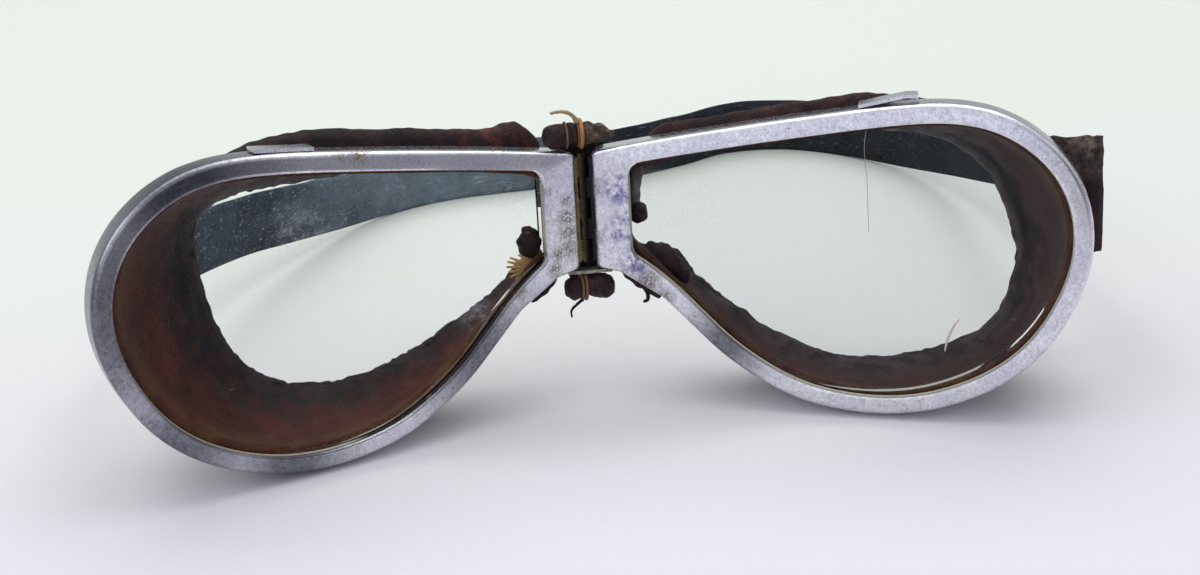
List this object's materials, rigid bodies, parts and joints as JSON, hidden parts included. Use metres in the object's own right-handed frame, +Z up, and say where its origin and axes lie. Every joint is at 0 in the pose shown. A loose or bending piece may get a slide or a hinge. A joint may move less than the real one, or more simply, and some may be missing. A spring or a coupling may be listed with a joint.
{
  "type": "aviator goggles",
  "caption": "Folding flying goggles with two pear-shaped metal rims, flat glass, leather masks, a hinged bridge and an elastic strap.",
  "frame": {"origin": "middle of the bounding box on the floor; the goggles stand on both rims and the far side of the strap", "axes": "+X to the right as seen from the front, +Y from the lenses to the back of the strap, +Z up; the lenses look to -Y"},
  "size_m": [0.1876, 0.1508, 0.06],
  "materials": {
    "nickel": "worn, pitted nickel plate with a violet cast",
    "tongue_nickel": "worn nickel plate",
    "packing": "yellowed felt",
    "lens_glass": "clear, scratched",
    "frame_metal": "dull brass",
    "trim": "worn dark pile",
    "mask_leather": "dark red-brown, cracked",
    "welt_leather": "dark brown, dry",
    "hinge_brass": "tarnished, green and black grime",
    "bridge_leather": "almost black",
    "roll_leather": "dark brown, frayed",
    "bridge_thread": "waxed orange-brown thread",
    "edge_strip": "stained",
    "tab_leather": "dark brown, wrinkled",
    "stitching": "orange-brown thread",
    "elastic": "dark blue-black woven elastic",
    "slider_steel": "dull steel"
  },
  "bodies": {
    "left_eyecup": {"rim_left": "nickel", "lens_left": "lens_glass", "lens_packing_left": "packing", "back_frame_left": "frame_metal", "mask_left": "mask_leather", "mask_trim_left": "trim", "welt_left": "welt_leather", "hinge_leaf_left": "hinge_brass", "hinge_pin": "hinge_brass", "bridge_leather": "bridge_leather", "bridge_roll_upper": "roll_leather", "bridge_roll_lower": "roll_leather", "bridge_thread_upper": "bridge_thread", "bridge_thread_lower": "bridge_thread", "bridge_edge_strip": "edge_strip", "strap_tab_left": "tab_leather", "tab_stitching_left": "stitching", "strap": "elastic"},
    "right_eyecup": {"rim_right": "nickel", "lens_right": "lens_glass", "lens_packing_right": "packing", "back_frame_right": "frame_metal", "mask_right": "mask_leather", "mask_trim_right": "trim", "welt_right": "welt_leather", "hinge_leaf_right": "hinge_brass", "strap_tab_right": "tab_leather", "tab_stitching_right": "stitching"},
    "left_tongue": {"closure_tongue_left": "tongue_nickel"},
    "right_tongue": {"closure_tongue_right": "tongue_nickel"},
    "slider": {"strap_slider": "slider_steel"}
  },
  "joints": [
    {"name": "bridge_fold", "type": "hinge", "parent": "left_eyecup", "child": "right_eyecup", "pos_m": [-0.00576, -0.04285, 0.03655], "axis": [0, 0.1564, 0.9877], "range_deg": [-30, 75], "deforming": ["strap", "bridge_leather", "bridge_roll_upper", "bridge_roll_lower"]},
    {"name": "right_tongue_lift", "type": "hinge", "parent": "right_eyecup", "child": "right_tongue", "pos_m": [0.04261, -0.05479, 0.05655], "axis": [-0.3173, -0.9366, 0.1484], "range_deg": [-4.5, 25], "stiffness_Nm_per_rad": 0.01},
    {"name": "left_tongue_lift", "type": "hinge", "parent": "left_eyecup", "child": "left_tongue", "pos_m": [-0.05412, -0.05479, 0.05655], "axis": [-0.3173, 0.9366, -0.1484], "range_deg": [0, 31], "stiffness_Nm_per_rad": 0.01},
    {"name": "slider_slide", "type": "slide", "parent": "right_eyecup", "child": "slider", "axis": [0.0633, 0.9853, -0.1584], "range_m": [-0.007, 0.008]}
  ]
}
